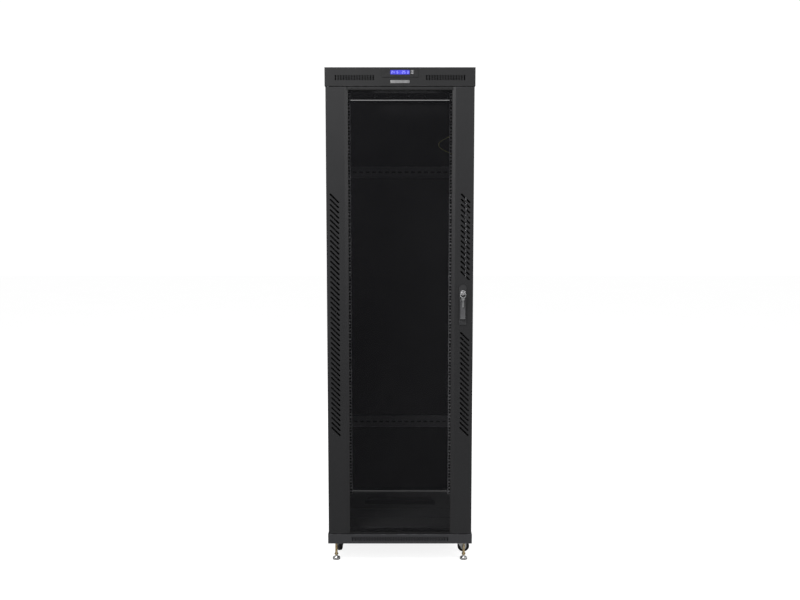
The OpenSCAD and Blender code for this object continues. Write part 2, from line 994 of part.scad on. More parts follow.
// Quarter-turn knob of the rear door with its cam.
module rear_lock() {
    knob = 32;
    color([0.6, 0.6, 0.62])
        union() {
            rod_y(handle_x, hd, rear_lock_z, 13, 4);
            rod_y(handle_x, hd - 20, rear_lock_z, 8.9, 22);
            block([handle_x - 3.5, hd + 3, rear_lock_z - 14],
                [handle_x + 3.5, hd + 4 + knob, rear_lock_z + 14]);
            block([handle_x - 6, hd - 23, rear_lock_z - 8],
                [handle_x + 34, hd - 20, rear_lock_z + 8]);
        }
}

// A lift-off side panel with upright stiffeners, for the +X side.
module side_panel() {
    lo = base_top + gap;
    hi = z1 - 43;
    y = frame_y - 1;
    difference() {
        union() {
            block([skin_x - sheet, -y, lo], [skin_x, y, hi]);
            for (s = [-1, 1])
                block([skin_x - 10, s * 150 - 20, lo + 20], [skin_x - sheet, s * 150 + 20, hi - 20]);
        }
        rod_x(skin_x - 5, 0, panel_lock_z, 9, 10);
    }
}

module right_side_panel() {
    color([0.15, 0.15, 0.16])
        side_panel();
}

module left_side_panel() {
    color([0.15, 0.15, 0.16])
        mirror([1, 0, 0])
            side_panel();
}

// A flush cam lock in the middle of the panel's upper edge.
module panel_lock() {
    z = panel_lock_z;
    rod_x(skin_x, 0, z, 12, 1);
    rod_x(skin_x - 14, 0, z, 8.9, 14.5);
    block([skin_x - 16.5, -7, z - 10], [skin_x - 13.9, 7, z + 26]);
}

module right_panel_lock() {
    color([0.7, 0.7, 0.72])
        panel_lock();
}

module left_panel_lock() {
    color([0.7, 0.7, 0.72])
        mirror([1, 0, 0])
            panel_lock();
}

front_posts();
rear_posts();
base_frame();
top_frame();
depth_beams();
front_rails();
rear_rails();
bottom_plate();
roof_panel();
cable_entry_covers();
top_fascia();
base_fascias();
fan_housings();
fan_guards();
fan_rotor_left();
fan_rotor_right();
controller_case();
controller_bezel();
display_window();
button_up();
button_set();
button_down();
hinge_pins();
earth_lead();
frame_screws();
castor_plates();
castor_fork_fl();
castor_fork_fr();
castor_fork_rl();
castor_fork_rr();
castor_wheel_fl();
castor_wheel_fr();
castor_wheel_rl();
castor_wheel_rr();
levelling_foot_fl();
levelling_foot_fr();
levelling_foot_rl();
levelling_foot_rr();
foot_nuts();
door_left_border();
door_right_border();
door_cross_strips();
door_glass();
door_screws();
handle_base();
handle_spindle();
handle_lever();
lock_cylinder();
lock_key();
spare_key();
lock_rod_upper();
lock_rod_lower();
rod_guides();
rear_door();
rear_door_ribs();
rear_lock();
left_side_panel();
right_side_panel();
left_panel_lock();
right_panel_lock();
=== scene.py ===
"""Network server rack cabinet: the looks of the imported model, with studio and camera."""
import json
import math

import bmesh
import bpy
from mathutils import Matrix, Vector

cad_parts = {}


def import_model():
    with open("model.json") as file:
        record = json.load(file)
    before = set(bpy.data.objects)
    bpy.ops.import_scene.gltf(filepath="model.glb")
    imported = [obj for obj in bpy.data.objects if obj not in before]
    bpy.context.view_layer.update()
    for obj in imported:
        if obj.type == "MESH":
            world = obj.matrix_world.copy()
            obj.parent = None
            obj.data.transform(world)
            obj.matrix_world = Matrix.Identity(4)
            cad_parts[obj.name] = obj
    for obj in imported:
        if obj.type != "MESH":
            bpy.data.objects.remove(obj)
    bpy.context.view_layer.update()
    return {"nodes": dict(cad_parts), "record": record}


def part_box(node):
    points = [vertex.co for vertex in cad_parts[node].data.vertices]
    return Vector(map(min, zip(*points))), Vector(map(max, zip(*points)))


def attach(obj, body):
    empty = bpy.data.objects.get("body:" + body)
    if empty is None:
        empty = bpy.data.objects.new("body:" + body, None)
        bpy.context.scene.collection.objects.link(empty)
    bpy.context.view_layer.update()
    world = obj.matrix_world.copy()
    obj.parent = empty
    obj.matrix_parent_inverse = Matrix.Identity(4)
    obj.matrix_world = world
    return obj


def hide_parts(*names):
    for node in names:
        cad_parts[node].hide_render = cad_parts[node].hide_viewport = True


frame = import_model()
nodes = frame["nodes"]

MM = 0.001
TAU = 2 * math.pi


# ------------------------------------------------------------ measured places

def low(node):
    return Vector(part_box(node)[0])


def high(node):
    return Vector(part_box(node)[1])


FASCIA_LOW, FASCIA_HIGH = low("top_fascia"), high("top_fascia")
TOP = FASCIA_HIGH.z
FRONT = FASCIA_LOW.y
BACK = high("roof_panel").y
BASE_LOW = low("base_fascias").z
FRAME_FLOOR = high("bottom_plate").z


# ---------------------------------------------------------------- materials

class Shader:
    """A small helper round one material's node tree."""

    def __init__(self, name):
        self.material = bpy.data.materials.new(name)
        self.material.use_nodes = True
        self.tree = self.material.node_tree
        self.bsdf = self.tree.nodes["Principled BSDF"]
        self.place = self.node("ShaderNodeTexCoord").outputs["Object"]

    def node(self, kind, **settings):
        made = self.tree.nodes.new(kind)
        for key, value in settings.items():
            setattr(made, key, value)
        return made

    def link(self, out, into):
        self.tree.links.new(out, into)

    def feed(self, value, socket):
        """A number, a colour or another node's output into a socket."""
        if isinstance(value, (int, float)):
            socket.default_value = value
        elif isinstance(value, tuple):
            socket.default_value = (*value, 1)
        else:
            self.link(value, socket)

    def set(self, **sockets):
        for key, value in sockets.items():
            self.bsdf.inputs[key.replace("_", " ")].default_value = value

    def noise(self, scale, detail=2.0, stretch=(1, 1, 1), roughness=0.5):
        """Noise over the object, in features per metre."""
        grid = self.node("ShaderNodeMapping")
        grid.inputs["Scale"].default_value = stretch
        self.link(self.place, grid.inputs["Vector"])
        made = self.node("ShaderNodeTexNoise")
        made.inputs["Scale"].default_value = scale
        made.inputs["Detail"].default_value = detail
        made.inputs["Roughness"].default_value = roughness
        self.link(grid.outputs["Vector"], made.inputs["Vector"])
        return made.outputs["Fac"]

    def axis(self, name):
        """One coordinate of the surface point, in metres."""
        made = self.node("ShaderNodeSeparateXYZ")
        self.link(self.place, made.inputs[0])
        return made.outputs[name]

    def ramp(self, value, first_colour, last_colour, start=0.3, end=0.7):
        """A colour that runs from the first to the last as value runs from start to end."""
        made = self.node("ShaderNodeValToRGB")
        first, last = made.color_ramp.elements
        first.position, last.position = start, end
        first.color, last.color = (*first_colour, 1), (*last_colour, 1)
        self.link(value, made.inputs["Fac"])
        return made.outputs["Color"]

    def span(self, value, to_low, to_high, from_low=0.0, from_high=1.0):
        made = self.node("ShaderNodeMapRange")
        for key, number in zip(("From Min", "From Max", "To Min", "To Max"),
                               (from_low, from_high, to_low, to_high)):
            made.inputs[key].default_value = number
        self.link(value, made.inputs["Value"])
        return made.outputs["Result"]

    def math(self, operation, a, b=0.0):
        made = self.node("ShaderNodeMath", operation=operation)
        self.feed(a, made.inputs[0])
        self.feed(b, made.inputs[1])
        return made.outputs["Value"]

    def blend(self, factor, a, b):
        made = self.node("ShaderNodeMix", data_type="RGBA")
        for value, index in ((factor, 0), (a, 6), (b, 7)):
            self.feed(value, made.inputs[index])
        return made.outputs[2]

    def bump(self, height, depth):
        """A raised pattern whose full height is depth metres."""
        made = self.node("ShaderNodeBump")
        made.inputs["Strength"].default_value = 1.0
        made.inputs["Distance"].default_value = depth
        self.link(height, made.inputs["Height"])
        self.link(made.outputs["Normal"], self.bsdf.inputs["Normal"])

    def colour(self, value):
        self.feed(value, self.bsdf.inputs["Base Color"])

    def roughness(self, value):
        self.link(value, self.bsdf.inputs["Roughness"])


def scaled(colour, k):
    return tuple(min(1.0, c * k) for c in colour)


def edge_mask(s, box, width):
    """1 along the outer edges of a box-shaped sheet part, 0 away from them."""
    near = []
    for name, a, b in zip("XYZ", *box):
        middle, half = (a + b) / 2, max((b - a) / 2, 0.002)
        off = s.math("ABSOLUTE", s.math("SUBTRACT", s.axis(name), middle))
        near.append(s.span(off, 0.0, 1.0, half - width, half - width * 0.2))
    pairs = [s.math("MULTIPLY", near[i], near[(i + 1) % 3]) for i in range(3)]
    return s.math("MAXIMUM", pairs[0], s.math("MAXIMUM", pairs[1], pairs[2]))


# The width and lightening of each part's outer edges: scuffed paint together with a painted edge
# highlight.
EDGE_WEAR_AND_HIGHLIGHT_WIDTH = 3.5 * MM
EDGE_WEAR_AND_HIGHLIGHT_GAIN = 3.4
DUST = (0.16, 0.155, 0.145)


def powder_coat(name, colour, rough, peel, box, dust):
    """Sprayed and baked powder: an orange-peel skin, slight cloudiness, lighter outer edges that are
    partly scuffed paint and partly a painted highlight, and dust.
    """
    s = Shader(name)
    cloud = s.ramp(s.noise(1.7, 3), scaled(colour, 0.95), scaled(colour, 1.05))
    fleck = s.ramp(s.noise(1500, 1), scaled(colour, 0.86), scaled(colour, 1.18), 0.38, 0.62)
    skin = s.blend(0.3, cloud, fleck)
    # Patchy lighter outer edges: partly scuffed paint, partly a painted highlight along each part's
    # edges.
    wear_and_highlight_patches = s.span(s.noise(55, 4), 0.0, 0.75, 0.42, 0.72)
    wear_and_highlight = s.math("MULTIPLY", edge_mask(s, box, EDGE_WEAR_AND_HIGHLIGHT_WIDTH), wear_and_highlight_patches)
    skin = s.blend(wear_and_highlight, skin, scaled(colour, EDGE_WEAR_AND_HIGHLIGHT_GAIN))
    if dust:
        up = s.node("ShaderNodeSeparateXYZ")
        s.link(s.node("ShaderNodeNewGeometry").outputs["Normal"], up.inputs[0])
        lying = s.math("MULTIPLY", s.span(up.outputs["Z"], 0.0, dust, 0.85, 1.0),
                       s.span(s.noise(9, 6, roughness=0.65), 0.2, 1.0, 0.35, 0.7))
        skin = s.blend(lying, skin, DUST)
    s.colour(skin)
    s.roughness(s.span(s.noise(6, 5, roughness=0.6), rough - 0.03, rough + 0.05, 0.25, 0.75))
    s.bump(s.math("ADD", s.noise(620, 2), s.math("MULTIPLY", s.noise(170, 1), 0.9)), peel)
    s.set(Specular_IOR_Level=0.42)
    return s.material


def plated(name, colour, rough, drift, tint=None, depth=0.000004):
    """Plated steel with fine drawn streaks and slight colour drift."""
    s = Shader(name)
    s.colour(s.ramp(s.noise(drift, 3), scaled(colour, 0.78), tint or scaled(colour, 1.14)))
    s.roughness(s.span(s.noise(drift * 5, 4, (1, 1, 0.15)), rough * 0.65, rough * 1.5))
    s.bump(s.noise(drift * 9, 3, (1, 1, 0.08)), depth)
    s.set(Metallic=1.0)
    return s.material


def threaded(name, centre, lo, hi, core, pitch=1.5 * MM):
    """A bright zinc pad below, and a yellow-passivated stem with a rolled thread from lo to hi."""
    s = Shader(name)
    stem = s.ramp(s.noise(70, 3), (0.54, 0.37, 0.14), (0.72, 0.62, 0.42))
    pad = s.ramp(s.noise(60, 3), (0.70, 0.70, 0.70), (0.86, 0.86, 0.86))
    pad_end, stem_start = lo - 12 * MM, lo - 10 * MM
    s.colour(s.blend(s.span(s.axis("Z"), 0.0, 1.0, pad_end, stem_start), pad, stem))
    s.roughness(s.span(s.noise(260, 3), 0.2, 0.42))
    dx = s.math("SUBTRACT", s.axis("X"), centre.x)
    dy = s.math("SUBTRACT", s.axis("Y"), centre.y)
    turn = s.math("DIVIDE", s.math("ARCTAN2", dy, dx), TAU)
    wave = s.math("PINGPONG", s.math("ADD", s.math("DIVIDE", s.axis("Z"), pitch), turn), 0.5)
    reach = s.math("SQRT", s.math("ADD", s.math("MULTIPLY", dx, dx), s.math("MULTIPLY", dy, dy)))
    on_stem = s.math("MULTIPLY", s.math("LESS_THAN", reach, core * 1.06),
                     s.math("MULTIPLY", s.math("GREATER_THAN", s.axis("Z"), lo),
                            s.math("LESS_THAN", s.axis("Z"), hi)))
    s.bump(s.math("MULTIPLY", wave, on_stem), 0.0009)
    s.set(Metallic=1.0)
    return s.material


def moulded(name, colour, rough=0.45, grain=900, depth=0.00001):
    """Moulded plastic with a spark-eroded grain."""
    s = Shader(name)
    s.colour(s.ramp(s.noise(14, 4), scaled(colour, 0.82), scaled(colour, 1.18)))
    s.roughness(s.span(s.noise(50, 4), rough - 0.09, rough + 0.12, 0.25, 0.75))
    s.bump(s.noise(grain, 3), depth)
    s.set(Specular_IOR_Level=0.45)
    return s.material


def tinted_glass():
    """Grey tempered glass with the faint dust and wipe marks of a door in use."""
    s = Shader("tinted_glass")
    s.colour(s.ramp(s.noise(5, 5), (0.011, 0.011, 0.0125), (0.0145, 0.0145, 0.016)))
    s.roughness(s.span(s.noise(8, 5, (1, 1, 0.25), 0.65), 0.02, 0.09, 0.3, 0.75))
    s.link(s.span(s.noise(2.5, 4, (1, 1, 0.5)), 0.30, 0.38), s.bsdf.inputs["Alpha"])
    s.set(IOR=1.5, Specular_IOR_Level=0.06)
    return s.material


DISPLAY_CELL = 0.6 * MM


def backlit_display():
    """A violet-blue backlight, brighter in its middle, behind a fine cell grid."""
    s = Shader("display")
    lo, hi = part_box("display_window")
    middle = (lo[0] + hi[0]) / 2
    off = s.math("ABSOLUTE", s.math("SUBTRACT", s.axis("X"), middle))
    outwards = s.math("DIVIDE", off, hi[0] - middle)
    glow = s.ramp(outwards, (0.085, 0.08, 0.84), (0.05, 0.045, 0.62), 0.1, 1.0)
    cells = s.math("MULTIPLY", s.math("PINGPONG", s.axis("X"), DISPLAY_CELL),
                   s.math("PINGPONG", s.axis("Z"), DISPLAY_CELL))
    s.colour((0.02, 0.02, 0.10))
    s.link(s.blend(s.span(cells, 0.12, 0.0, 0.0, 2.0e-7), glow, (0.04, 0.04, 0.40)),
           s.bsdf.inputs["Emission Color"])
    s.set(Emission_Strength=0.9, Roughness=0.22)
    s.bump(s.noise(2500, 1), 0.000002)
    return s.material


COAT = (0.0136, 0.0136, 0.0148)
# The inside coat is lighter than the outer one so that the shaded interior reads brighter: painted
# light.
INSIDE = (0.0185, 0.0185, 0.0196)
OUTER_PEEL, INNER_PEEL = 0.00001, 0.0000025
COATS = {
    "painted_front": (COAT, 0.46, OUTER_PEEL),
    # The base's coat at 2.7 times the door's is a lit copy of the same paint: painted light.
    "painted_base": (scaled(COAT, 2.7), 0.46, OUTER_PEEL),
    "painted_shell": (COAT, 0.50, INNER_PEEL),
    "painted_frame": (INSIDE, 0.55, INNER_PEEL),
    # The rails' coat at 3.6 times the inside coat is a lit copy of the same black paint: painted
    # light.
    "painted_rails": (scaled(INSIDE, 3.6), 0.48, INNER_PEEL),
}
# How many times as bright as its coat a node is: painted light and shade, lighter or darker copies of
# one coat for how light falls on each node.
LIGHT_AND_SHADE_TONE = {
    "front_posts": 0.4, "rear_door_ribs": 7.5, "bottom_plate": 4.2, "base_frame": 3.2,
    "top_frame": 1.2, "door_cross_strips": 0.65, "top_fascia": 0.72,
}
materials = {
    "black_plastic": moulded("black_plastic", (0.011, 0.011, 0.012), 0.40),
    "bright_wire": plated("bright_wire", (0.62, 0.63, 0.65), 0.22, 60),
    "display": backlit_display(),
    "pale_plastic": moulded("pale_plastic", (0.16, 0.16, 0.17), 0.4),
    "zinc_steel": plated("zinc_steel", (0.52, 0.53, 0.55), 0.32, 45),
    "lead_sheath": moulded("lead_sheath", (0.66, 0.66, 0.30), 0.4),
    "wheel_nylon": moulded("wheel_nylon", (0.014, 0.014, 0.015), 0.42, 500, 0.00002),
    "yellow_zinc": plated("yellow_zinc", (0.55, 0.44, 0.20), 0.32, 70, (0.64, 0.58, 0.40)),
    "tinted_glass": tinted_glass(),
    "black_screw": plated("black_screw", (0.03, 0.03, 0.032), 0.35, 80),
    "handle_grey": moulded("handle_grey", (0.10, 0.10, 0.105), 0.34, 800),
    "handle_plate": moulded("handle_plate", (0.034, 0.034, 0.036), 0.36, 800),
    "chrome": plated("chrome", (0.78, 0.78, 0.80), 0.26, 50),
    "bright_zinc": plated("bright_zinc", (0.86, 0.87, 0.88), 0.34, 45),
    "rubber": moulded("rubber", (0.012, 0.012, 0.012), 0.62, 700, 0.00002),
    # Light rims round the rail holes: bare metal brightened into a painted highlight.
    "bare_edge_and_highlight": moulded("bare_edge_and_highlight", (0.80, 0.80, 0.83), 0.55, 300),
    "white_print": moulded("white_print", (0.72, 0.72, 0.72), 0.5, 400),
    "lit_print": moulded("lit_print", (0.30, 0.31, 0.80), 0.4, 600),
    "brushed_plate": plated("brushed_plate", (0.52, 0.52, 0.53), 0.30, 35, depth=0.000006),
}
lit = materials["lit_print"].node_tree.nodes["Principled BSDF"].inputs
lit["Emission Color"].default_value = (0.34, 0.36, 1.0, 1)
lit["Emission Strength"].default_value = 0.62

SLOT_OF = {row["node"]: row["material_slot"] for row in frame["record"]["subparts"]}
DUSTY = {"roof_panel": 0.13, "cable_entry_covers": 0.1, "bottom_plate": 0.25}

for name, obj in nodes.items():
    finish = SLOT_OF[name]
    obj.data.materials.clear()
    if finish in COATS:
        colour, rough, peel = COATS[finish]
        colour = scaled(colour, LIGHT_AND_SHADE_TONE.get(name, 1.0))
        box = [list(c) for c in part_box(name)]
        made = powder_coat(f"{finish}_{name}", colour, rough, peel, box, DUSTY.get(name, 0.0))
    elif name == "handle_base":
        made = materials["handle_plate"]
    elif name.startswith(("castor_fork", "spare_key")):
        made = materials["bright_zinc"]
    elif name.startswith("levelling_foot"):
        lo, hi = low(name), high(name)
        made = threaded(f"{finish}_{name}", (lo + hi) / 2, lo.z + 27 * MM, hi.z, 5 * MM)
    else:
        made = materials[finish]
    obj.data.materials.append(made)


# -------------------------------------------------------------- piece making

def soften(obj, width, segments=2):
    """Rounds the folded or moulded edges, as real ones are, without touching the mesh."""
    made = obj.modifiers.new("edge_radius", "BEVEL")
    made.width = width
    made.segments = segments
    made.limit_method = "ANGLE"
    made.angle_limit = math.radians(40)


def piece(name, shape, finish, body, round_edges=0.0):
    """Turns a bmesh into a piece of the object that rides on a body."""
    mesh = bpy.data.meshes.new(name)
    bmesh.ops.recalc_face_normals(shape, faces=shape.faces)
    shape.to_mesh(mesh)
    shape.free()
    obj = bpy.data.objects.new(name, mesh)
    bpy.context.collection.objects.link(obj)
    mesh.shade_smooth()
    mesh.set_sharp_from_angle(angle=math.radians(35))
    mesh.materials.append(materials[finish])
    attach(obj, body)
    if round_edges:
        soften(obj, round_edges)


def add_block(shape, a, b):
    """A box between two corners."""
    made = bmesh.ops.create_cube(shape, size=1.0)["verts"]
    a, b = Vector(a), Vector(b)
    bmesh.ops.scale(shape, vec=b - a, verts=made)
    bmesh.ops.translate(shape, vec=(a + b) / 2, verts=made)


def join_rings(shape, near, far):
    """Faces between two closed rings that have as many points."""
    for k in range(len(near)):
        m = (k + 1) % len(near)
        shape.faces.new((near[k], near[m], far[m], far[k]))


def add_turned(shape, outline, centre, axis, sides=24):
    """Turns an outline of (radius, height) points about an axis through centre."""
    turn = Vector((0, 0, 1)).rotation_difference(Vector(axis)).to_matrix()
    rings = []
    for radius, height in outline:
        ring = []
        for k in range(sides):
            a = TAU * k / sides
            spot = turn @ Vector((radius * math.cos(a), radius * math.sin(a), height))
            ring.append(shape.verts.new(Vector(centre) + spot))
        rings.append(ring)
    for near, far in zip(rings, rings[1:]):
        join_rings(shape, near, far)
    shape.faces.new(rings[0][::-1])
    shape.faces.new(rings[-1])


def add_screw_head(shape, centre, axis, radius, height, recess=0.5):
    """A low domed head with a sunk middle and a flat cross over it."""
    dome = [(radius, 0), (radius, height * 0.35), (radius * 0.82, height * 0.85),
            (radius * 0.5, height)]
    well = [(radius * 0.34, height), (radius * 0.2, height * (1 - recess))]
    add_turned(shape, dome + well, centre, axis, 20)
    turn = Vector((0, 0, 1)).rotation_difference(Vector(axis)).to_matrix()
    for a in (0.4, 0.4 + TAU / 4):
        along = turn @ Vector((math.cos(a), math.sin(a), 0))
        across = turn @ Vector((-math.sin(a), math.cos(a), 0))
        top = Vector(centre) + turn @ Vector((0, 0, height * 1.004))
        arm, half = radius * 0.52, radius * 0.09
        corners = [top + along * u * arm + across * v * half
                   for u, v in ((-1, -1), (1, -1), (1, 1), (-1, 1))]
        shape.faces.new([shape.verts.new(c) for c in corners])


def add_bead(shape, path, radius, sides=8):
    """A round bead along a closed path of points."""
    count = len(path)
    rings = []
    for i, spot in enumerate(path):
        before, after = path[i - 1], path[(i + 1) % count]
        go_in, go_out = (spot - before).normalized(), (after - spot).normalized()
        along = (go_in + go_out).normalized()
        normal = Vector((0, 1, 0)) if abs(along.y) < 0.5 else Vector((0, 0, 1))
        if abs(go_in.z) < 0.01 and abs(go_out.z) < 0.01:
            normal = Vector((0, 0, 1))
        side = along.cross(normal).normalized()
        stretch = 1 / max(0.6, along.dot(go_out))
        ring = []
        for k in range(sides):
            a = TAU * k / sides
            outward = side * stretch * math.cos(a) + normal * math.sin(a)
            ring.append(shape.verts.new(spot + outward * radius))
        rings.append(ring)
    for i in range(count):
        join_rings(shape, rings[i], rings[(i + 1) % count])


def add_rounded_plate(shape, centre, width, height, depth, corner, steps=5):
    """A flat plate in the XZ plane with rounded corners, its back at centre and front towards -Y."""
    outline = []
    for index, (sx, sz) in enumerate(((1, 1), (-1, 1), (-1, -1), (1, -1))):
        for k in range(steps + 1):
            a = TAU / 4 * (index + k / steps)
            outline.append((sx * (width / 2 - corner) + corner * math.cos(a),
                            sz * (height / 2 - corner) + corner * math.sin(a)))
    back = [shape.verts.new(Vector(centre) + Vector((x, 0, z))) for x, z in outline]
    face = [shape.verts.new(Vector(centre) + Vector((x, -depth, z))) for x, z in outline]
    join_rings(shape, back, face)
    shape.faces.new(back)
    shape.faces.new(face[::-1])


# ------------------------------------------------------------ fascia details

def nameplate():
    """The blank plate under the display."""
    shape = bmesh.new()
    middle = Vector((0, FRONT, TOP - 56 * MM))
    add_rounded_plate(shape, middle, 76 * MM, 12 * MM, 1.2 * MM, 2.5 * MM)
    piece("nameplate", shape, "brushed_plate", "cabinet", 0.4 * MM)


SEGMENTS = {
    "top": (0, 1, True), "middle": (0, 0, True), "bottom": (0, -1, True),
    "upper_left": (-0.5, 0.5, False), "upper_right": (0.5, 0.5, False),
    "lower_left": (-0.5, -0.5, False), "lower_right": (0.5, -0.5, False),
}
DIGITS = {
    "0": ("top", "bottom", "upper_left", "upper_right", "lower_left", "lower_right"),
    "2": ("top", "middle", "bottom", "upper_right", "lower_left"),
    "4": ("middle", "upper_left", "upper_right", "lower_right"),
    "5": ("top", "middle", "bottom", "upper_left", "lower_right"),
}


def display_digits():
    """Plain seven-segment numbers: a temperature and a set point."""
    lo, hi = low("display_window"), high("display_window")
    tall, wide, bar, gap = 4.4 * MM, 5.0 * MM, 1.1 * MM, 0.3 * MM
    thick = 0.1 * MM
    shape = bmesh.new()
    y = lo.y - 0.12 * MM
    reading = "24 5  25 0"
    step = 7.2 * MM
    x = lo.x + (hi.x - lo.x - step * (len(reading) - 1)) / 2
    for sign in reading:
        for segment in DIGITS.get(sign, ()):
            across, up, flat = SEGMENTS[segment]
            cx, cz = x + across * wide, (lo.z + hi.z) / 2 + up * tall
            w, h = (wide / 2 - gap, bar / 2) if flat else (bar / 2, tall / 2 - gap)
            add_block(shape, (cx - w, y, cz - h), (cx + w, y + thick, cz + h))
        x += step
    piece("display_digits", shape, "lit_print", "cabinet")


def button_marks():
    """An up arrow, a bar and a down arrow, one on each button."""
    outlines = {
        "button_up": [(-1.6, -1.0), (1.6, -1.0), (0, 1.1)],
        "button_set": [(-1.8, -0.55), (1.8, -0.55), (1.8, 0.55), (-1.8, 0.55)],
        "button_down": [(-1.6, 1.0), (0, -1.1), (1.6, 1.0)],
    }
    for name, outline in outlines.items():
        lo, hi = low(name), high(name)
        middle = Vector(((lo.x + hi.x) / 2, lo.y, (lo.z + hi.z) / 2))
        shape = bmesh.new()
        rings = []
        for y in (0.0, -0.12 * MM):
            rings.append([shape.verts.new(middle + Vector((x * MM, y, z * MM))) for x, z in outline])
        join_rings(shape, rings[0], rings[1])
        shape.faces.new(rings[1])
        piece(f"{name}_mark", shape, "white_print", name)


# -------------------------------------------------------------- door details

BEAD = 1.3 * MM


def glazing_bead():
    """The black rubber bead between the glass and the door's frame."""
    glass, strip = low("door_glass"), high("door_cross_strips")
    half = abs(high("door_left_border").x) - 1.0 * MM
    bottom, top = glass.z + 2 * MM, strip.z - 12.5 * MM
    y = glass.y - 0.9 * MM
    shape = bmesh.new()
    corners = [Vector((-half, y, bottom)), Vector((half, y, bottom)),
               Vector((half, y, top)), Vector((-half, y, top))]
    add_bead(shape, corners, BEAD)
    piece("glazing_bead", shape, "rubber", "front_door")


def door_seal():
    """A soft foam seal along the inner edge of each long side of the front door."""
    lo, hi = low("door_right_border"), high("door_right_border")
    half_width, short_of_end = 3 * MM, 30 * MM
    shape = bmesh.new()
    for side in (-1, 1):
        x = side * (lo.x + 22 * MM)
        add_block(shape, (x - half_width, hi.y - 3.5 * MM, lo.z + short_of_end),
                  (x + half_width, hi.y - 0.6 * MM, hi.z - short_of_end))
    piece("door_seal", shape, "rubber", "front_door", 1.0 * MM)


def lock_ring():
    """A thin bright ring round the lock on the handle plate."""
    lo, hi = low("lock_cylinder"), high("lock_cylinder")
    plate = low("handle_base")
    middle = Vector(((lo.x + hi.x) / 2, plate.y, (lo.z + hi.z) / 2))
    reach = (hi.x - lo.x) / 2
    shape = bmesh.new()
    outline = [(reach + 0.25 * MM, 0.0), (reach + 0.25 * MM, 0.9 * MM), (reach + 1.3 * MM, 1.1 * MM),
               (reach + 2.2 * MM, 0.7 * MM), (reach + 2.5 * MM, 0.0)]
    sides = 40
    rings = []
    for radius, height in outline:
        ring = []
        for k in range(sides):
            a = TAU * k / sides
            spot = Vector((radius * math.cos(a), -height, radius * math.sin(a)))
            ring.append(shape.verts.new(middle + spot))
        rings.append(ring)
    for i in range(len(rings)):
        join_rings(shape, rings[i], rings[(i + 1) % len(rings)])
    piece("lock_ring", shape, "chrome", "front_door")


# -------------------------------------------------------------- rail details

HOLE_STEPS = (6.35 * MM, 22.225 * MM, 38.1 * MM)
UNIT = 44.45 * MM
HOLE_X = 465.1 / 2 * MM
HOLE = 9.5 * MM
# Width of the light rim round each hole: bare metal widened into a painted highlight.
HOLE_RIM_AND_HIGHLIGHT = 2.5 * MM
RAIL_SHEET = 2 * MM
LIFT = 0.05 * MM
MARK_HALF = 0.35 * MM


def rail_pair(node):
    """Where a pair of rails stands: its bottom, its top, its outer face and the way in from it."""
    lo, hi = low(node), high(node)
    outer, inward = (lo.y, 1) if lo.y < -abs(hi.y) else (hi.y, -1)
    return lo.z, hi.z, outer, inward


def add_square_ring(shape, x, y, z, inner, width, towards):
    """A thin flat frame round a square hole, facing along Y."""
    rings = []
    for half in (inner, inner + width):
        rings.append([shape.verts.new((x + sx * half, y, z + sz * half))
                      for sx, sz in ((-1, -1), (1, -1), (1, 1), (-1, 1))])
    if towards > 0:
        rings.reverse()
    join_rings(shape, rings[0], rings[1])


def rail_hole_wear_and_highlights(node, name):
    """Bare metal round every punched hole, on both faces of a pair of rails, drawn wide and light as
    a painted highlight where the holes show bright.
    """
    bottom, top, outer, inward = rail_pair(node)
    faces = ((outer - inward * LIFT, -inward), (outer + inward * (RAIL_SHEET + LIFT), inward))
    inner = HOLE / 2 + 0.02 * MM
    shape = bmesh.new()
    for u in range(round((top - bottom) / UNIT)):
        for step in HOLE_STEPS:
            z = bottom + u * UNIT + step
            for side in (-1, 1):
                for y, towards in faces:
                    add_square_ring(shape, side * HOLE_X, y, z, inner, HOLE_RIM_AND_HIGHLIGHT, towards)
    piece(name, shape, "bare_edge_and_highlight", "cabinet")


def rail_unit_marks(node, name):
    """A short printed line at each rack unit, and a longer one every fifth."""
    bottom, top, outer, inward = rail_pair(node)
    y = outer - inward * 0.06 * MM
    margin, start = 0.5 * MM, HOLE_X + 8.5 * MM
    shape = bmesh.new()
    for u in range(round((top - bottom) / UNIT) + 1):
        length = 7 * MM if u % 5 == 0 else 4 * MM
        z = min(max(bottom + u * UNIT, bottom + margin), top - margin)
        for side in (-1, 1):
            near, far = side * start, side * (start + length)
            under, over = z - MARK_HALF, z + MARK_HALF
            corners = [(near, y, under), (far, y, under), (far, y, over), (near, y, over)]
            shape.faces.new([shape.verts.new(c) for c in corners])
    piece(name, shape, "white_print", "cabinet")


# ------------------------------------------------------ roof, floor, castors

def entry_trims():
    """Rubber edging round the open half of the roof and floor cable entries."""
    lo, hi = low("cable_entry_covers"), high("cable_entry_covers")
    lap, opening = 12 * MM, 45 * MM
    left, right = lo.x + lap + BEAD, hi.x - lap - BEAD
    near, far = hi.y + BEAD, hi.y + opening - BEAD
    shape = bmesh.new()
    for z in (TOP - 1.35 * MM, FRAME_FLOOR - 0.75 * MM):
        corners = [Vector((left, near, z)), Vector((right, near, z)),
                   Vector((right, far, z)), Vector((left, far, z))]
        add_bead(shape, corners, BEAD)
    piece("cable_entry_trims", shape, "rubber", "cabinet")


def fan_screws():
    """Four screws up through the corners of each fan."""
    lo, hi = low("fan_housings"), high("fan_housings")
    size = hi.y - lo.y
    inset = 7.5 * MM
    shape = bmesh.new()
    for start in (lo.x, hi.x - size):
        for x in (start + inset, start + size - inset):
            for y in (lo.y + inset, hi.y - inset):
                add_screw_head(shape, (x, y, lo.z), (0, 0, -1), 4.0 * MM, 2.2 * MM)
    piece("fan_screws", shape, "zinc_steel", "cabinet")


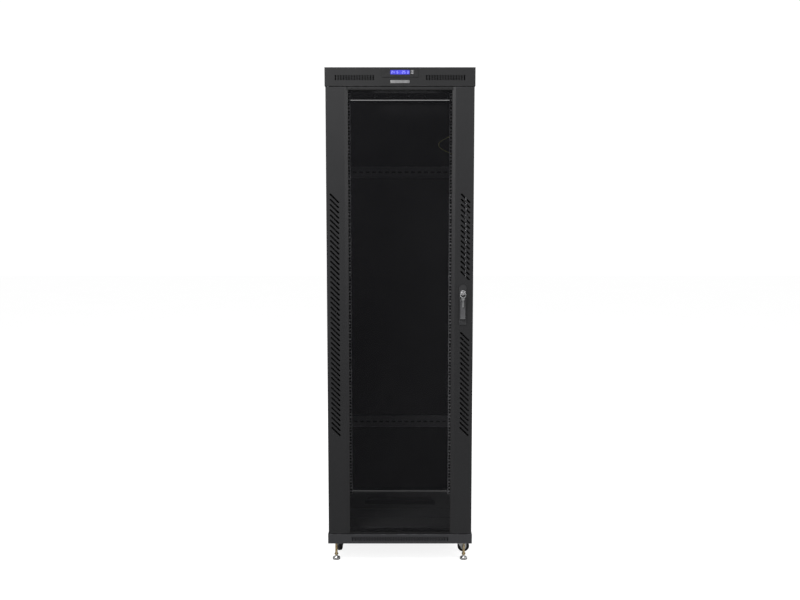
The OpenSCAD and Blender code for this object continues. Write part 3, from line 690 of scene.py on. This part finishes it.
def fan_hub_discs():
    """The blank foil disc on each fan's hub."""
    for side in ("left", "right"):
        lo, hi = low(f"fan_rotor_{side}"), high(f"fan_rotor_{side}")
        middle = ((lo.x + hi.x) / 2, (lo.y + hi.y) / 2, hi.z)
        disc = [(13 * MM, 0), (13 * MM, 0.12 * MM), (1 * MM, 0.12 * MM)]
        shape = bmesh.new()
        add_turned(shape, disc, middle, (0, 0, 1), 32)
        piece(f"fan_{side}_hub_disc", shape, "brushed_plate", f"fan_{side}")


HEAD_RADIUS, HEAD_RISE = 4.5 * MM, 1.9 * MM


def shell_screws():
    """Low screws in the roof's side skirts and in the two rear skirts."""
    roof_low, roof_high = low("roof_panel"), high("roof_panel")
    shape = bmesh.new()
    for side in (-1, 1):
        for y in (-0.18, 0.18):
            add_screw_head(shape, (side * roof_high.x, y, TOP - 20 * MM), (side, 0, 0),
                           HEAD_RADIUS, 0.9 * MM, 0.6)
        for z in (roof_low.z + 14 * MM, (BASE_LOW + FRAME_FLOOR) / 2):
            add_screw_head(shape, (side * 0.27, BACK, z), (0, 1, 0), HEAD_RADIUS, HEAD_RISE)
    piece("shell_screws", shape, "black_screw", "cabinet")


def skirt_nuts():
    """Zinc nuts and stud ends inside the roof's rear skirt."""
    height = low("roof_panel").z + 16 * MM
    inner = BACK - 1.5 * MM
    nut = [(5.5 * MM, 0), (5.5 * MM, 3.6 * MM), (4.8 * MM, 4.2 * MM)]
    stud = [(3 * MM, 4.2 * MM), (3 * MM, 7 * MM), (2.5 * MM, 7.6 * MM)]
    nuts, heads = bmesh.new(), bmesh.new()
    for x in (-0.115, -0.045, 0.045, 0.115):
        add_turned(nuts, nut, (x, inner, height), (0, -1, 0), 6)
        add_turned(nuts, stud, (x, inner, height), (0, -1, 0), 20)
        add_screw_head(heads, (x, BACK, height), (0, 1, 0), HEAD_RADIUS, HEAD_RISE)
    piece("skirt_nuts", nuts, "zinc_steel", "cabinet")
    piece("skirt_screws", heads, "black_screw", "cabinet")


CORNERS = ("fl", "fr", "rl", "rr")


def foot_soles():
    """A rubber sole under each levelling foot."""
    for corner in CORNERS:
        node = f"levelling_foot_{corner}"
        lo, hi = low(node), high(node)
        reach = (hi.x - lo.x) / 2
        middle = ((lo.x + hi.x) / 2, (lo.y + hi.y) / 2, lo.z)
        outline = [(reach - 1 * MM, 0), (reach + 0.3 * MM, 0.6 * MM), (reach + 0.4 * MM, 1.8 * MM),
                   (reach + 0.05 * MM, 2.8 * MM)]
        shape = bmesh.new()
        add_turned(shape, outline, middle, (0, 0, 1), 40)
        piece(f"foot_sole_{corner}", shape, "rubber", f"foot_{corner}")


def axle_heads():
    """The riveted ends of each castor's axle."""
    joints = {row["name"]: row for row in frame["record"]["behaviour"]["joints"]}
    reach = 15 * MM
    rivet = [(5.4 * MM, -1.2 * MM), (5.4 * MM, 0), (4.2 * MM, 1.3 * MM), (1.5 * MM, 1.8 * MM)]
    for corner in CORNERS:
        roll = joints[f"wheel_{corner}_roll"]
        middle, axis = Vector(roll["pos_m"]), Vector(roll["axis"])
        shape = bmesh.new()
        for side in (-1, 1):
            spot = middle + axis * side * reach
            add_turned(shape, rivet, spot, axis * side)
        piece(f"axle_heads_{corner}", shape, "zinc_steel", f"castor_{corner}")


# ------------------------------------------------------------- the earth lead

LEAD_POINTS = 32
LEAD_RADIUS = 2.5 * MM


def earth_lead():
    """The lead that bows between two studs on the right rear post."""
    cad_low, cad_high = low("earth_lead"), high("earth_lead")
    y = (cad_low.y + cad_high.y) / 2
    top, bottom = cad_high.z, cad_low.z
    anchor = cad_high.x - LEAD_RADIUS
    bow = cad_high.x - cad_low.x - 2 * LEAD_RADIUS
    path = []
    for i in range(LEAD_POINTS + 1):
        t = i / LEAD_POINTS
        path.append(Vector((anchor - bow * math.sin(math.pi * t), y, top + t * (bottom - top))))
    curve = bpy.data.curves.new("earth_lead_sheath", "CURVE")
    curve.dimensions = "3D"
    curve.bevel_depth = LEAD_RADIUS
    curve.bevel_resolution = 6
    curve.use_fill_caps = True
    line = curve.splines.new("POLY")
    line.points.add(len(path) - 1)
    for point, spot in zip(line.points, path):
        point.co = (*spot, 1)
    curve.materials.append(materials["lead_sheath"])
    obj = bpy.data.objects.new("earth_lead_sheath", curve)
    bpy.context.collection.objects.link(obj)
    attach(obj, "cabinet")
    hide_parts("earth_lead")


SOFT_EDGES = {
    "top_fascia": 0.8, "base_fascias": 0.6, "roof_panel": 0.7, "door_left_border": 0.6,
    "door_right_border": 0.6, "handle_base": 0.8, "handle_lever": 1.4, "rear_door": 0.7,
    "left_side_panel": 0.5, "right_side_panel": 0.5, "controller_bezel": 0.7,
    "rear_lock": 1.0, "lock_key": 0.3, "spare_key": 0.3,
}
for name, width in SOFT_EDGES.items():
    soften(nodes[name], width * MM)

nameplate()
display_digits()
button_marks()
glazing_bead()
door_seal()
lock_ring()
for place in ("front", "rear"):
    rail_hole_wear_and_highlights(f"{place}_rails", f"{place}_rail_hole_wear_and_highlights")
    rail_unit_marks(f"{place}_rails", f"{place}_rail_unit_marks")
entry_trims()
fan_screws()
fan_hub_discs()
shell_screws()
skirt_nuts()
foot_soles()
axle_heads()
earth_lead()


# ------------------------------------------------------------------ studio

def area_light(name, place, target, size, power):
    data = bpy.data.lights.new(name, "AREA")
    data.shape = "RECTANGLE"
    data.size, data.size_y = size
    data.energy = power
    made = bpy.data.objects.new(name, data)
    bpy.context.collection.objects.link(made)
    made.location = place
    made.rotation_euler = (Vector(target) - Vector(place)).to_track_quat("-Z", "Y").to_euler()


# How bright the floor and the world look to the camera, and the world's light on the cabinet.
FLOOR_GLOW = 0.86
BACKDROP_LEVEL, LIGHT_LEVEL = 1.05, 0.30
CAMERA_DISTANCE, CAMERA_HEIGHT = 3.8, 1.4885
CAMERA_TILT, CAMERA_LENS = 5.749, 42.27


def floor():
    """A plain pale floor, bright enough to run into the backdrop."""
    mesh = bpy.data.meshes.new("studio_floor")
    shape = bmesh.new()
    bmesh.ops.create_grid(shape, x_segments=8, y_segments=8, size=16.0)
    shape.to_mesh(mesh)
    shape.free()
    made = bpy.data.objects.new("studio_floor", mesh)
    bpy.context.collection.objects.link(made)
    s = Shader("studio_floor")
    s.colour(s.ramp(s.noise(1.5, 2), (0.42, 0.42, 0.42), (0.44, 0.44, 0.44)))
    seen = s.node("ShaderNodeLightPath").outputs["Is Camera Ray"]
    s.link(s.span(seen, 0.0, FLOOR_GLOW), s.bsdf.inputs["Emission Strength"])
    s.set(Roughness=0.9, Specular_IOR_Level=0.0, Emission_Color=(1, 1, 1, 1))
    mesh.materials.append(s.material)


def world():
    """White behind the cabinet, and a softer grey for the light that falls on it."""
    made = bpy.data.worlds.new("studio_world")
    made.use_nodes = True
    tree = made.node_tree
    background = tree.nodes["Background"]
    seen = tree.nodes.new("ShaderNodeLightPath")
    mix = tree.nodes.new("ShaderNodeMapRange")
    mix.inputs["To Min"].default_value = LIGHT_LEVEL
    mix.inputs["To Max"].default_value = BACKDROP_LEVEL
    tree.links.new(seen.outputs["Is Camera Ray"], mix.inputs["Value"])
    tree.links.new(mix.outputs["Result"], background.inputs["Strength"])
    background.inputs["Color"].default_value = (1, 1, 1, 1)
    bpy.context.scene.world = made


def lights():
    upper = (0, 0, 1.5)
    area_light("key", (-1.5, -2.6, 4.0), upper, (1.4, 1.4), 120)
    area_light("fill", (2.6, -2.9, 2.6), upper, (2.0, 2.4), 52)
    area_light("side", (-2.7, -3.4, 1.9), (0, 0, 1.2), (1.2, 1.6), 26)
    area_light("back", (1.6, 3.4, 3.0), upper, (2.4, 2.0), 70)


def camera():
    """A long view like the photograph's, from above the cabinet's middle and tilted slightly down."""
    data = bpy.data.cameras.new("camera")
    data.sensor_width = 36.0
    data.lens = CAMERA_LENS
    made = bpy.data.objects.new("camera", data)
    bpy.context.collection.objects.link(made)
    made.location = (0, FRONT - CAMERA_DISTANCE, CAMERA_HEIGHT)
    made.rotation_euler = (math.radians(90 - CAMERA_TILT), 0, 0)
    bpy.context.scene.camera = made


floor()
world()
lights()
camera()
bpy.context.scene.view_settings.view_transform = "Standard"
